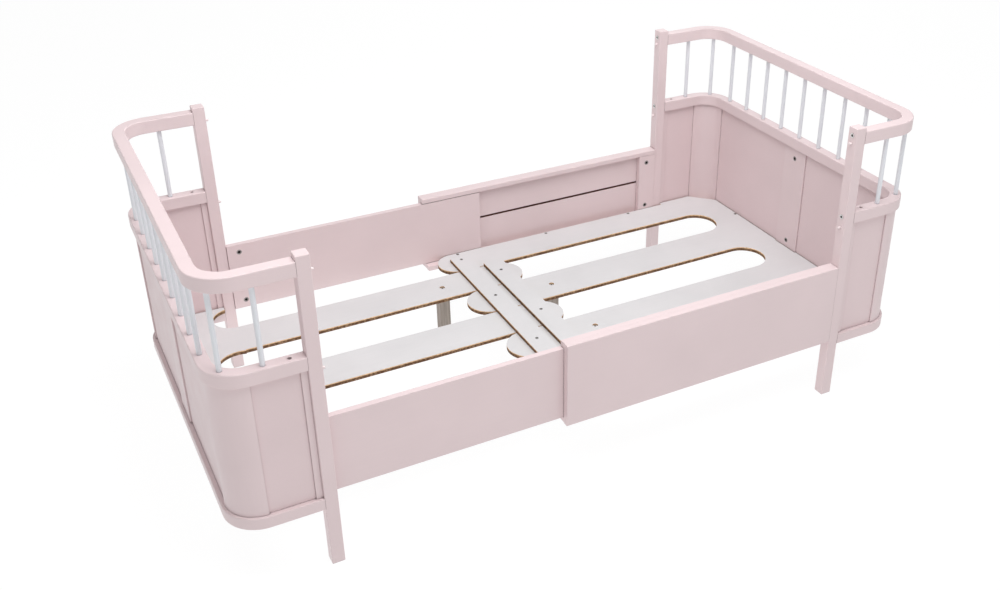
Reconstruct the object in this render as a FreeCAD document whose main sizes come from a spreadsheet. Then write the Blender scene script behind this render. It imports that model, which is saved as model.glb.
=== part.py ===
import FreeCAD, Part
import math
import os
import re

# Extending bed for a small child: two bent, spindled ends on square posts, joined on each side by an
# outer rail (head section) in which a plain inner rail (foot section) slides, with a deck of two
# interleaved combs. Origin on the floor at the middle of the bed, +X to the head, +Y to the left side
# as seen from the foot, +Z up. Millimetres.

SIZES = (
    ("bed_length", 1952, "over both ends, at the drawn extension"),
    ("bed_width", 980, "over the posts and outer rails"),
    ("post_side", 32, "square posts"),
    ("post_height", 835, "floor to post top"),
    ("arm_length", 216, "post to the outer face of the cross rails"),
    ("rail_depth", 32, "plan depth of the bent rails"),
    ("corner_radius", 90, "outer radius of the bent rails"),
    ("top_rail_foot", 787, "underside of the top rail"),
    ("top_rail_tall", 36, "height of the top rail"),
    ("mid_rail_foot", 555, "underside of the middle rail"),
    ("mid_rail_tall", 35, "height of the middle rail"),
    ("low_rail_tall", 32, "height of the bottom rail"),
    ("deck_foot", 200, "underside of the deck, top of the bottom rails and lips"),
    ("deck_thick", 12, "deck board"),
    ("deck_gap", 1, "gap from the deck to what stands round it"),
    ("rail_round", 3, "rounded edges of the bent rails"),
    ("soft_round", 2, "rounded edges of posts, caps and boards"),
    ("spindle_thick", 12, "diameter of the spindles"),
    ("spindle_let_in", 12, "depth of the spindle sockets"),
    ("peg_gap", 0.1, "radial room round spindles, bolts and dowels"),
    ("stile_thick", 16, "stiles, front to back"),
    ("panel_thick", 8, "flat panels"),
    ("centre_stile_wide", 100, "middle stile of each cross"),
    ("arm_stile_wide", 16, "stile beside each post"),
    ("board_thick", 18, "outer side board"),
    ("board_foot", 184, "underside of the outer side board"),
    ("board_tall", 241, "height of the outer side board"),
    ("board_past_middle", 124, "outer rail, past the bed's middle"),
    ("slide_gap", 1, "sideways room between outer and inner rail"),
    ("slide_lift", 1.5, "room above and below the inner rail"),
    ("slat_thick", 16, "inner rail"),
    ("slat_past_middle", 70, "inner rail, past the bed's middle"),
    ("cap_tall", 15, "strip along the top of the outer rail"),
    ("cap_proud", 1, "cap past the face of the inner rail"),
    ("lip_tall", 14, "strip along the bottom of the outer rail"),
    ("lip_proud", 25, "lip past the face of the inner rail"),
    ("end_stile_wide", 62, "stop block at the head end of the outer rail"),
    ("groove_lift", 112, "middle of the groove, above the lip"),
    ("groove_tall", 6.6, "groove for the guide pin"),
    ("groove_deep", 8, "depth of that groove"),
    ("groove_under", 4, "groove runs this far under the stop block"),
    ("pin_thick", 5.4, "guide pin"),
    ("pin_inset", 20, "guide pin from the end of the inner rail"),
    ("extension", 20, "travel left in the lengthening direction"),
    ("finger_pitch", 271, "spacing of slots and of foot fingers"),
    ("slot_wide", 135, "slots of the head deck"),
    ("foot_finger_wide", 128, "fingers of the foot deck"),
    ("rail_clear", 2, "head deck to the inner rail"),
    ("cross_gap", 3, "gap from the decks to the cross panels and stiles"),
    ("head_tip_past_middle", 116, "head deck fingers, past the bed's middle"),
    ("edge_tip_inset", 14, "edge fingers of the head deck, short of the others"),
    ("foot_tip_past_middle", 120, "foot deck fingers, past the bed's middle"),
    ("slot_past_post", 95, "slot ends, past the posts' outward face"),
    ("side_slot_past_post", 48, "ends of the foot deck's side slots, past the posts"),
    ("tab_wide", 15, "strip of the foot deck on each arm"),
    ("chamfer_room", 5, "cut corners of the decks, past the inside of the bends"),
    ("batten_wide", 62, "cross battens"),
    ("batten_thick", 12, "cross battens"),
    ("batten_gap", 21, "gap between the battens as drawn"),
    ("batten_inset", 56, "head batten from the finger tips"),
    ("batten_past_finger", 12, "head batten, past the middles of the edge fingers"),
    ("batten_relief", 0.4, "running room over the other comb"),
    ("leg_side", 32, "centre legs"),
    ("head_leg_inset", 276, "head centre legs from the finger tips"),
    ("foot_leg_inset", 265, "foot centre legs from the finger tips"),
    ("bolt_thick", 6, "bolt shank"),
    ("bolt_head_thick", 13, "bolt head diameter"),
    ("bolt_head_tall", 4, "bolt head height"),
    ("bolt_proud", 1, "bolt head out of the post"),
    ("bolt_socket_wide", 7, "hexagon socket of a post or leg bolt, across flats"),
    ("top_bolt_lift", 8, "bolts of the top rail, above its middle"),
    ("mid_bolt_lift", 4, "bolts of the middle rail, above its middle"),
    ("nut_thick", 10, "barrel nut"),
    ("nut_tall", 15, "barrel nut"),
    ("joint_inset", 34, "barrel nuts and cams from the joint"),
    ("cam_thick", 15, "cam lock"),
    ("cam_deep", 12, "cam lock"),
    ("cam_socket_wide", 8, "hexagon socket of a cam lock, across flats"),
    ("cam_margin", 24, "cams from the edge of a side rail"),
    ("cam_pin_in", 12, "cam pin into the mating piece"),
    ("dowel_thick", 8, "dowel"),
    ("dowel_half", 15, "dowel in each piece"),
    ("screw_thick", 4, "screw shank"),
    ("screw_head_thick", 10, "screw head"),
    ("screw_head_tall", 2.6, "screw head"),
    ("screw_socket_wide", 3.5, "hexagon socket of a screw, across flats"),
    ("screw_long", 22, "deck and batten screws"),
    ("screw_margin", 7, "deck screws from the sides of the deck"),
    ("cross_screw_margin", 5.5, "deck screws from the ends of the deck"),
    ("leg_sink_thick", 16, "sink in the deck over a leg bolt"),
    ("leg_sink_room", 3, "top of a leg bolt below the face of the deck"),
    ("stud_thick", 7, "studs on the posts"),
    ("stud_proud", 9, "stud out of the post"),
    ("stud_let_in", 8, "stud in the post"),
    ("stud_dome", 3, "rounding of the stud's end"),
    ("top_stud_drop", 22, "upper stud below the bolt of the top rail"),
    ("mid_stud_drop", 32, "lower stud below the bolt of the middle rail"),
)

doc = FreeCAD.newDocument("ExtendingBed")
sheet = doc.addObject("Spreadsheet::Sheet", "Sizes")
for row, (alias, value, _note) in enumerate(SIZES, start=1):
    sheet.set(f"A{row}", str(value))
    sheet.setAlias(f"A{row}", alias)
doc.recompute()

ALIASES = re.compile(r"\b[a-z]+(?:_[a-z]+)+\b|\bextension\b")
ENDS = (("head", 1), ("foot", -1))
SIDES = (("left", 1), ("right", -1))
pieces = []

# Places, as formulas on the sheet. X and Y are given for the head end and the left side, and turned
# over for the foot end and the right side.
HALF_LENGTH = "bed_length / 2"
HALF_WIDTH = "bed_width / 2"
POST_OUT = f"({HALF_LENGTH} - arm_length)"
POST_IN = f"({POST_OUT} - post_side)"
CROSS_IN = f"({HALF_LENGTH} - rail_depth)"
ARM_IN = f"({HALF_WIDTH} - rail_depth)"
BEND_X = f"({HALF_LENGTH} - corner_radius)"
BEND_Y = f"({HALF_WIDTH} - corner_radius)"
STILE_INSET = "((rail_depth - stile_thick) / 2)"
PANEL_INSET = "((rail_depth - panel_thick) / 2)"
LOW_RAIL_FOOT = "(deck_foot - low_rail_tall)"
MID_RAIL_TOP = "(mid_rail_foot + mid_rail_tall)"
DECK_TOP = "(deck_foot + deck_thick)"
BOARD_IN = f"({HALF_WIDTH} - board_thick)"
BOARD_TOP = "(board_foot + board_tall)"
BOARD_END = "(-board_past_middle)"
SLAT_OUT = f"({BOARD_IN} - slide_gap)"
SLAT_IN = f"({SLAT_OUT} - slat_thick)"
SLAT_END = "slat_past_middle"
SLAT_FOOT = "(deck_foot + slide_lift)"
SLAT_TOP = f"({BOARD_TOP} - cap_tall - slide_lift)"
GROOVE_Z = "(deck_foot + groove_lift)"
STOP_FACE = f"({POST_IN} - end_stile_wide)"
PIN_X = f"({SLAT_END} - pin_inset)"
DECK_EDGE = f"({SLAT_IN} - rail_clear)"
ARM_EDGE = f"({HALF_WIDTH} - {STILE_INSET} - stile_thick - deck_gap)"
CROSS_EDGE = f"({HALF_LENGTH} - {PANEL_INSET} - panel_thick - cross_gap)"
STILE_FACE = f"({HALF_LENGTH} - {STILE_INSET} - stile_thick)"
STILE_EDGE = f"({STILE_FACE} - cross_gap)"
CHAMFER = f"(corner_radius - {STILE_INSET} - stile_thick + chamfer_room)"
TOP_BOLT_Z = "(top_rail_foot + top_rail_tall / 2 + top_bolt_lift)"
MID_BOLT_Z = "(mid_rail_foot + mid_rail_tall / 2 + mid_bolt_lift)"
SLOT_END = f"({POST_OUT} + slot_past_post)"
HEAD_TIP = "(-head_tip_past_middle)"
HEAD_FINGER = "(finger_pitch - slot_wide)"
EDGE_FINGER = f"({DECK_EDGE} - finger_pitch - slot_wide / 2)"
FOOT_TIP = "foot_tip_past_middle"
FOOT_SLOT = "(finger_pitch - foot_finger_wide)"
HEAD_BATTEN_X = f"({HEAD_TIP} + batten_inset)"
FOOT_BATTEN_X = f"({HEAD_BATTEN_X} + batten_wide + batten_gap)"
EDGE_FINGER_IN = "(finger_pitch + slot_wide / 2)"
EDGE_MIDDLE = f"(({DECK_EDGE} + {EDGE_FINGER_IN}) / 2)"
HEAD_BATTEN_LONG = f"(2 * ({EDGE_MIDDLE} + batten_past_finger))"
FOOT_BATTEN_LONG = "(2 * finger_pitch + foot_finger_wide)"


def formula(text):
    return ALIASES.sub(lambda word: f"Sizes.{word.group(0)}", text)


def bind(thing, prop, text):
    thing.setExpression(prop, formula(str(text)))


def size(alias):
    return float(sheet.get(alias))


def turned(span, sign):
    """The same span on the other side of the origin when sign is negative."""
    low, high = span
    return span if sign > 0 else (f"-({high})", f"-({low})")


def placed(place, sign):
    return place if sign > 0 else f"-({place})"


def new(kind, name):
    return doc.addObject(kind, name)


def box(name, x_span, y_span, z_span):
    made = new("Part::Box", name)
    for prop, axis, (low, high) in zip(("Length", "Width", "Height"), "xyz", (x_span, y_span, z_span)):
        bind(made, prop, f"({high}) - ({low})")
        bind(made, f"Placement.Base.{axis}", low)
    return made


TURN = {
    "x": FreeCAD.Rotation(FreeCAD.Vector(0, 1, 0), 90),
    "y": FreeCAD.Rotation(FreeCAD.Vector(1, 0, 0), -90),
    "z": FreeCAD.Rotation(),
}


def lay_along(made, axis, span, centre):
    """Put a round or six-sided solid along an axis, from the low end of span."""
    made.Placement = FreeCAD.Placement(FreeCAD.Vector(), TURN[axis])
    bind(made, "Height", f"({span[1]}) - ({span[0]})")
    others = [name for name in "xyz" if name != axis]
    bind(made, f"Placement.Base.{axis}", span[0])
    for name, place in zip(others, centre):
        bind(made, f"Placement.Base.{name}", place)
    return made


def rod(name, thick, axis, span, centre):
    """A cylinder along an axis; centre is its place on the other two axes, in X, Y, Z order."""
    made = new("Part::Cylinder", name)
    bind(made, "Radius", f"({thick}) / 2")
    return lay_along(made, axis, span, centre)


def hexagon(name, wide, axis, span, centre):
    made = new("Part::Prism", name)
    made.Polygon = 6
    bind(made, "Circumradius", f"({wide}) / 1.732")
    return lay_along(made, axis, span, centre)


def cone(name, thick_low, thick_high, z_span, centre):
    made = new("Part::Cone", name)
    bind(made, "Radius1", f"({thick_low}) / 2")
    bind(made, "Radius2", f"({thick_high}) / 2")
    return lay_along(made, "z", z_span, centre)


def group(name, members):
    made = new("Part::Compound", name)
    made.Links = members
    return made


def fuse(name, members):
    made = new("Part::MultiFuse", name)
    made.Shapes = members
    made.Refine = True
    return made


def cut(name, base, tools):
    made = new("Part::Cut", name)
    made.Base = base
    made.Tool = tools[0] if len(tools) == 1 else fuse(name + "_tool", tools)
    return made


def rounded(name, base, radius, wanted):
    """Round the edges of base that wanted() picks, all with one radius."""
    doc.recompute()
    picked = [i for i, edge in enumerate(base.Shape.Edges, start=1) if wanted(edge)]
    made = new("Part::Fillet", name)
    made.Base = base
    made.Edges = [(i, radius, radius) for i in picked]
    return made


def piece(label, made):
    """Keep a finished piece under its own name."""
    made.Label = label
    pieces.append(made)
    return made


def any_edge(_edge):
    return True


def is_level(edge):
    low = edge.BoundBox.ZMin
    return abs(edge.BoundBox.ZMax - low) < 0.01


def quarter_ring(name, end, side, inset, depth, z_span):
    """A quarter of a ring round the bend of an end, inset from its outer face."""
    start = {(1, 1): 0, (-1, 1): 90, (-1, -1): 180, (1, -1): 270}[(end, side)]
    centre = (placed(BEND_X, end), placed(BEND_Y, side))
    sectors = []
    for part, radius in (("out", f"corner_radius - {inset}"), ("in", f"corner_radius - {inset} - {depth}")):
        sector = rod(f"{name}_{part}", f"2 * ({radius})", "z", z_span, centre)
        sector.Angle = 90
        sector.Placement.Rotation = FreeCAD.Rotation(FreeCAD.Vector(0, 0, 1), start)
        sectors.append(sector)
    return cut(f"{name}_ring", sectors[0], [sectors[1]])


def spindle_path():
    """Places of one end's spindles, evenly spaced along the rail's middle line from the bed's centre."""
    bend_x = size("bed_length") / 2 - size("corner_radius")
    bend_y = size("bed_width") / 2 - size("corner_radius")
    radius = size("corner_radius") - size("rail_depth") / 2
    arc = radius * math.pi / 2
    arm = size("arm_length") - size("corner_radius")
    steps = 7
    spacing = (bend_y + arc + arm) / steps
    places = []
    for step in range(steps):
        along = step * spacing
        if along <= bend_y:
            spot = (bend_x + radius, along)
        elif along <= bend_y + arc:
            turn = (along - bend_y) / radius
            spot = (bend_x + radius * math.cos(turn), bend_y + radius * math.sin(turn))
        else:
            spot = (bend_x - (along - bend_y - arc), bend_y + radius)
        places.append(spot)
        if step:
            places.append((spot[0], -spot[1]))
    return places


def spindles(end_name, end, thick, z_span):
    """One rod at each spindle place of an end."""
    rods = []
    for number, (x, y) in enumerate(spindle_path()):
        made = new("Part::Cylinder", f"{end_name}_rod_{number}")
        made.Placement.Base = FreeCAD.Vector(end * x, y, 0)
        bind(made, "Placement.Base.z", z_span[0])
        bind(made, "Height", f"({z_span[1]}) - ({z_span[0]})")
        bind(made, "Radius", f"({thick}) / 2")
        rods.append(made)
    return rods


def bent_rail(label, end, z_span, tools):
    """A rail that runs from one post round both bends to the other post, less its holes."""
    parts = [box(f"{label}_cross", turned((CROSS_IN, HALF_LENGTH), end), (f"-({BEND_Y})", BEND_Y), z_span)]
    for side_name, side in SIDES:
        arm_x = turned((POST_OUT, BEND_X), end)
        arm_y = turned((ARM_IN, HALF_WIDTH), side)
        parts.append(box(f"{label}_arm_{side_name}", arm_x, arm_y, z_span))
        parts.append(quarter_ring(f"{label}_{side_name}", end, side, "0", "rail_depth", z_span))
    whole = fuse(f"{label}_whole", parts)
    face = size("bed_length") / 2 - size("arm_length")

    def along_rail(edge):
        ends_at_post = abs(abs(edge.BoundBox.XMin) - face) < 0.01 and edge.BoundBox.XLength < 0.01
        return is_level(edge) and not ends_at_post

    soft = rounded(f"{label}_soft", whole, size("rail_round"), along_rail)
    return piece(label, cut(f"{label}_bored", soft, tools))


def bolt(name, end, side, z, nut_up, nut_face):
    """A bolt through a post into a bent rail, its barrel nut, and the holes for them.

    The nut goes in from nut_face, the rail's top (nut_up 1) or underside (nut_up -1)."""
    y = placed(f"{HALF_WIDTH} - rail_depth / 2", side)
    tip = f"({POST_OUT} + joint_inset + nut_thick)"
    nut_x = placed(f"({POST_OUT} + joint_inset)", end)
    head_out = f"({POST_IN} - bolt_proud)"
    neck = f"({head_out} + bolt_head_tall)"
    shank = rod(f"{name}_shank", "bolt_thick", "x", turned((neck, tip), end), (y, z))
    head = rod(f"{name}_head", "bolt_head_thick", "x", turned((head_out, neck), end), (y, z))
    socket_x = turned((head_out, f"{head_out} + bolt_head_tall * 0.75"), end)
    socket = hexagon(f"{name}_socket", "bolt_socket_wide", "x", socket_x, (y, z))
    made = cut(f"{name}_bolt", fuse(f"{name}_solid", [head, shank]), [socket])
    hole_thick = "bolt_thick + 2 * peg_gap"
    hole = rod(f"{name}_hole", hole_thick, "x", turned((POST_IN, f"{tip} + 2"), end), (y, z))
    sink = rod(f"{name}_sink", "bolt_head_thick + 2 * peg_gap", "x", turned((POST_IN, neck), end), (y, z))
    nut_z = (f"{z} - nut_tall / 2", f"{z} + nut_tall / 2")
    nut = cut(f"{name}_nut", rod(f"{name}_barrel", "nut_thick", "z", nut_z, (nut_x, y)), [
        rod(f"{name}_thread", hole_thick, "x", turned((POST_OUT, f"{tip} + 2"), end), (y, z))
    ])
    well_z = (nut_z[0], nut_face) if nut_up > 0 else (nut_face, nut_z[1])
    well = rod(f"{name}_well", "nut_thick + 2 * peg_gap", "z", well_z, (nut_x, y))
    return [made, nut], hole, sink, well


def dowels(name, end, side):
    """Two dowels between a post and the bottom rail, and the holes for them."""
    y = placed(f"{HALF_WIDTH} - rail_depth / 2", side)
    pegs = []
    holes = []
    for number, share in enumerate(("low_rail_tall / 4", "low_rail_tall * 3 / 4")):
        z = f"{LOW_RAIL_FOOT} + {share}"
        span = turned((f"{POST_OUT} - dowel_half", f"{POST_OUT} + dowel_half"), end)
        pegs.append(rod(f"{name}_{number}", "dowel_thick", "x", span, (y, z)))
        holes.append(rod(f"{name}_hole_{number}", "dowel_thick + 2 * peg_gap", "x", span, (y, z)))
    return pegs, holes


def cam(name, face_axis, face_span, cam_centre, socket_span, pin_axis, pin_span, pin_centre):
    """A cam lock: the cam in its face with a hexagon socket, its pin, and the holes for both."""
    barrel = rod(f"{name}_barrel", "cam_thick", face_axis, face_span, cam_centre)
    socket = hexagon(f"{name}_socket", "cam_socket_wide", face_axis, socket_span, cam_centre)
    hole_thick = "bolt_thick + 2 * peg_gap"
    pin_hole = rod(f"{name}_pin_hole", hole_thick, pin_axis, pin_span, pin_centre)
    body = cut(f"{name}_cam", barrel, [socket, pin_hole])
    pin = rod(f"{name}_pin", "bolt_thick", pin_axis, pin_span, pin_centre)
    well = rod(f"{name}_well", "cam_thick + 2 * peg_gap", face_axis, face_span, cam_centre)
    return [body, pin], well, pin_hole


def end_section(end_name, end, screw_holes):
    """Bent rails, spindles, stiles and panels of one end, less its posts. screw_holes are the deck's in
    the bottom rail. Returns the holes the rails need in each post, and the end's cam locks."""
    top_z = ("top_rail_foot", "top_rail_foot + top_rail_tall")
    mid_z = ("mid_rail_foot", MID_RAIL_TOP)
    low_z = (LOW_RAIL_FOOT, "deck_foot")
    bolt_sets = []
    pegs = []
    post_holes = {"left": [], "right": []}
    rail_tools = {"top": [], "mid": [], "low": list(screw_holes)}
    for side_name, side in SIDES:
        joints = (
            ("top", TOP_BOLT_Z, -1, "top_rail_foot"),
            ("mid", MID_BOLT_Z, 1, MID_RAIL_TOP),
        )
        for rail, z, nut_up, nut_face in joints:
            name = f"{end_name}_{side_name}_{rail}"
            made, hole, sink, well = bolt(name, end, side, z, nut_up, nut_face)
            bolt_sets += made
            post_holes[side_name] += [hole, sink]
            rail_tools[rail] += [hole, well]
        made, holes = dowels(f"{end_name}_{side_name}_dowel", end, side)
        pegs += made
        post_holes[side_name] += holes
        rail_tools["low"] += holes

    spindle_z = (f"{MID_RAIL_TOP} - spindle_let_in", "top_rail_foot + spindle_let_in")
    rods = spindles(end_name, end, "spindle_thick", spindle_z)
    sockets = spindles(f"{end_name}_socket", end, "spindle_thick + 2 * peg_gap", spindle_z)
    piece(f"{end_name}_spindles", group(f"{end_name}_spindle_group", rods))
    rail_tools["top"] += sockets
    rail_tools["mid"] += sockets

    stile_x = turned((STILE_FACE, f"{STILE_FACE} + stile_thick"), end)
    panel_x = turned((f"{HALF_LENGTH} - {PANEL_INSET} - panel_thick", f"{HALF_LENGTH} - {PANEL_INSET}"), end)
    between = ("deck_foot", "mid_rail_foot")
    cam_x = turned((STILE_FACE, f"{STILE_FACE} + cam_deep"), end)
    socket_x = turned((STILE_FACE, f"{STILE_FACE} + cam_deep / 2"), end)
    middle_x = placed(f"{HALF_LENGTH} - rail_depth / 2", end)
    cams = []
    stile_tools = []
    mid_cam_z = "(mid_rail_foot - joint_inset)"
    low_cam_z = "(deck_foot + joint_inset)"
    for rail, cam_z, pin_z in (
        ("mid", mid_cam_z, (mid_cam_z, "mid_rail_foot + cam_pin_in")),
        ("low", low_cam_z, ("deck_foot - cam_pin_in", low_cam_z)),
    ):
        made, well, pin_hole = cam(
            f"{end_name}_stile_{rail}", "x", cam_x, ("0", cam_z), socket_x, "z", pin_z, (middle_x, "0"))
        cams += made
        stile_tools += [well, pin_hole]
        rail_tools[rail].append(pin_hole)
    half_stile = "centre_stile_wide / 2"
    stile = box(f"{end_name}_centre_block", stile_x, (f"-{half_stile}", half_stile), between)
    piece(f"{end_name}_centre_stile", cut(f"{end_name}_centre_bored", stile, stile_tools))

    bent_rail(f"{end_name}_top_rail", end, top_z, rail_tools["top"])
    bent_rail(f"{end_name}_middle_rail", end, mid_z, rail_tools["mid"])
    bent_rail(f"{end_name}_bottom_rail", end, low_z, rail_tools["low"])

    for side_name, side in SIDES:
        name = f"{end_name}_{{}}_{side_name}"
        corner = quarter_ring(name.format("bend"), end, side, STILE_INSET, "stile_thick", between)
        piece(name.format("corner_stile"), corner)
        cross_y = turned((half_stile, BEND_Y), side)
        piece(name.format("cross_panel"), box(name.format("cross_flat"), panel_x, cross_y, between))
        stile_face = f"{HALF_WIDTH} - {STILE_INSET}"
        stile_y = turned((f"{stile_face} - stile_thick", stile_face), side)
        panel_face = f"{HALF_WIDTH} - {PANEL_INSET}"
        panel_y = turned((f"{panel_face} - panel_thick", panel_face), side)
        stile_end = f"{POST_OUT} + arm_stile_wide"
        piece(name.format("arm_stile"), box(
            name.format("arm_strip"), turned((POST_OUT, stile_end), end), stile_y, between))
        piece(name.format("arm_panel"), box(
            name.format("arm_flat"), turned((stile_end, BEND_X), end), panel_y, between))
    piece(f"{end_name}_post_bolts", group(f"{end_name}_bolt_sets", bolt_sets))
    piece(f"{end_name}_dowels", group(f"{end_name}_pegs", pegs))
    return post_holes, cams


def studs(end_name, end, side_name, side):
    """Two round-ended studs on a post's inward face. Returns the holes for them."""
    made = []
    holes = []
    y = placed(f"{HALF_WIDTH} - rail_depth / 2", side)
    nose = size("bed_length") / 2 - size("arm_length") - size("post_side") - size("stud_proud")

    def end_of_stud(edge):
        return abs(abs(edge.BoundBox.XMin) - nose) < 0.01 and edge.BoundBox.XLength < 0.01

    for row, z in (("top", f"{TOP_BOLT_Z} - top_stud_drop"), ("mid", f"{MID_BOLT_Z} - mid_stud_drop")):
        name = f"{end_name}_{side_name}_{row}_stud"
        span = turned((f"{POST_IN} - stud_proud", f"{POST_IN} + stud_let_in"), end)
        pin = rod(f"{name}_pin", "stud_thick", "x", span, (y, z))
        made.append(rounded(f"{name}_round", pin, size("stud_dome"), end_of_stud))
        holes.append(rod(f"{name}_hole", "stud_thick + 2 * peg_gap", "x", span, (y, z)))
    return made, holes


def posts(end_name, end, post_holes):
    stud_set = []
    for side_name, side in SIDES:
        made, holes = studs(end_name, end, side_name, side)
        stud_set += made
        name = f"{end_name}_post_{side_name}"
        block = box(
            f"{name}_block", turned((POST_IN, POST_OUT), end), turned((ARM_IN, HALF_WIDTH), side),
            ("0", "post_height"))
        soft = rounded(f"{name}_soft", block, size("soft_round"), any_edge)
        piece(name, cut(f"{name}_bored", soft, post_holes[side_name] + holes))
    piece(f"{end_name}_post_studs", group(f"{end_name}_stud_group", stud_set))


def rail_cams(name, sign_x, side, joint_face, thick_in, thick_out, z_low, z_high):
    """Two cam locks at the end of a side rail that meets a post at joint_face. sign_x is 1 where the
    rail lies on the low side of that face."""
    made = []
    wells = []
    pins = []
    middle = placed(f"({thick_in} + {thick_out}) / 2", side)
    face_y = turned((thick_in, f"{thick_in} + cam_deep"), side)
    socket_y = turned((thick_in, f"{thick_in} + cam_deep / 2"), side)
    cam_x = placed(f"({joint_face} - joint_inset)", sign_x)
    pin_x = turned((f"{joint_face} - joint_inset", f"{joint_face} + cam_pin_in"), sign_x)
    for number, z in enumerate((f"({z_low} + cam_margin)", f"({z_high} - cam_margin)")):
        lock, well, pin = cam(f"{name}_{number}", "y", face_y, (cam_x, z), socket_y, "x", pin_x, (middle, z))
        made += lock
        wells.append(well)
        pins.append(pin)
    return made, wells, pins


def outer_rail(side_name, side, screw_holes):
    """Board, cap, lip and stop block of one outer rail. Returns its cam locks and the post's holes."""
    name = f"outer_{{}}_{side_name}"
    rail_x = (BOARD_END, POST_IN)
    board_y = turned((BOARD_IN, HALF_WIDTH), side)
    blank = box(name.format("blank"), rail_x, board_y, ("board_foot", BOARD_TOP))
    face = size("bed_width") / 2

    def along_outside(edge):
        limits = edge.BoundBox
        outside = abs(abs(limits.YMin) - face) < 0.01 and limits.YLength < 0.01
        return outside and limits.XLength > 1

    soft = rounded(name.format("soft"), blank, size("soft_round"), along_outside)
    groove_x = (f"{PIN_X} - pin_thick - extension", f"{STOP_FACE} + groove_under")
    groove_z = (f"{GROOVE_Z} - groove_tall / 2", f"{GROOVE_Z} + groove_tall / 2")
    groove_y = turned((BOARD_IN, f"{BOARD_IN} + groove_deep"), side)
    groove = box(name.format("groove"), groove_x, groove_y, groove_z)
    piece(f"outer_board_{side_name}", cut(name.format("grooved"), soft, [groove]))

    cap_y = turned((f"{SLAT_IN} - cap_proud", BOARD_IN), side)
    cap = box(name.format("cap_strip"), rail_x, cap_y, (f"{BOARD_TOP} - cap_tall", BOARD_TOP))
    inner = size("bed_width") / 2 - size("board_thick")

    def inside_top(edge):
        limits = edge.BoundBox
        return limits.XLength > 1 and abs(limits.YMin) < inner - 1 and abs(limits.YMax) < inner - 1

    piece(f"rail_cap_{side_name}", rounded(name.format("cap_soft"), cap, size("soft_round"), inside_top))

    lip_y = turned((f"{SLAT_IN} - lip_proud", BOARD_IN), side)
    lip = box(name.format("lip_strip"), rail_x, lip_y, ("deck_foot - lip_tall", "deck_foot"))
    piece(f"rail_lip_{side_name}", cut(name.format("lip_bored"), lip, screw_holes))

    stop_y = (SLAT_IN, BOARD_IN)
    stop_z = ("deck_foot", f"{BOARD_TOP} - cap_tall")
    locks, wells, pins = rail_cams(
        name.format("cam"), 1, side, POST_IN, stop_y[0], stop_y[1], SLAT_FOOT, SLAT_TOP)
    stop = box(name.format("stop_block"), (STOP_FACE, POST_IN), turned(stop_y, side), stop_z)
    piece(f"rail_end_stile_{side_name}", cut(name.format("stop_bored"), stop, wells + pins))
    return locks, pins


def inner_rail(side_name, side):
    """One plain sliding rail. Returns its cam locks, the post's holes and its guide pin."""
    name = f"inner_{{}}_{side_name}"
    locks, wells, pins = rail_cams(
        name.format("cam"), -1, side, POST_IN, SLAT_IN, SLAT_OUT, SLAT_FOOT, SLAT_TOP)
    slat = box(
        name.format("slat"), (f"-({POST_IN})", SLAT_END), turned((SLAT_IN, SLAT_OUT), side),
        (SLAT_FOOT, SLAT_TOP))
    face = size("bed_length") / 2 - size("arm_length") - size("post_side")

    def away_from_post(edge):
        return abs(edge.BoundBox.XMin + face) > 1

    soft = rounded(name.format("soft"), slat, size("soft_round"), away_from_post)
    pin_y = turned((f"{SLAT_OUT} - groove_deep", f"{SLAT_OUT} + groove_deep * 0.75"), side)
    pin = rod(name.format("pin"), "pin_thick", "y", pin_y, (PIN_X, GROOVE_Z))
    pin_hole = rod(name.format("pin_hole"), "pin_thick + 2 * peg_gap", "y", pin_y, (PIN_X, GROOVE_Z))
    piece(f"inner_rail_{side_name}", cut(name.format("bored"), soft, wells + pins + [pin_hole]))
    return locks, pins, pin


def screw(name, x, y, top):
    """A countersunk screw driven down from top, and its hole."""
    neck = f"{top} - screw_head_tall"
    head = cone(f"{name}_head", "screw_thick", "screw_head_thick", (neck, top), (x, y))
    shank = rod(f"{name}_shank", "screw_thick", "z", (f"{top} - screw_long", neck), (x, y))
    socket_z = (f"{top} - screw_head_tall / 2", top)
    socket = hexagon(f"{name}_socket", "screw_socket_wide", "z", socket_z, (x, y))
    made = cut(f"{name}_screw", fuse(f"{name}_solid", [head, shank]), [socket])
    room = "2 * peg_gap"
    sink = cone(f"{name}_sink", f"screw_thick + {room}", f"screw_head_thick + {room}", (neck, top), (x, y))
    bore = rod(f"{name}_bore", f"screw_thick + {room}", "z", (f"{top} - screw_long", neck), (x, y))
    return made, [sink, bore]


def leg_with_bolt(label, x, y):
    """A centre leg under a deck finger, its bolt from above, and the bolt's hole in the deck."""
    half = "leg_side / 2"
    post = box(f"{label}_block", (f"{x} - {half}", f"{x} + {half}"), (f"{y} - {half}", f"{y} + {half}"),
               ("0", "deck_foot"))
    head_top = f"({DECK_TOP} - leg_sink_room)"
    head_z = (f"{head_top} - bolt_head_tall", head_top)
    shank_z = (f"{DECK_TOP} - joint_inset - nut_thick", head_z[0])
    head = rod(f"{label}_head", "bolt_head_thick", "z", head_z, (x, y))
    shank = rod(f"{label}_shank", "bolt_thick", "z", shank_z, (x, y))
    socket_z = (f"{head_top} - bolt_head_tall * 0.75", head_top)
    socket = hexagon(f"{label}_socket", "bolt_socket_wide", "z", socket_z, (x, y))
    made = cut(f"{label}_bolt", fuse(f"{label}_solid", [head, shank]), [socket])
    sink = rod(f"{label}_sink", "leg_sink_thick", "z", (head_z[0], DECK_TOP), (x, y))
    bore = rod(f"{label}_bore", "bolt_thick + 2 * peg_gap", "z", shank_z, (x, y))
    piece(label, cut(f"{label}_bored", post, [bore]))
    return made, [sink, bore]


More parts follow.
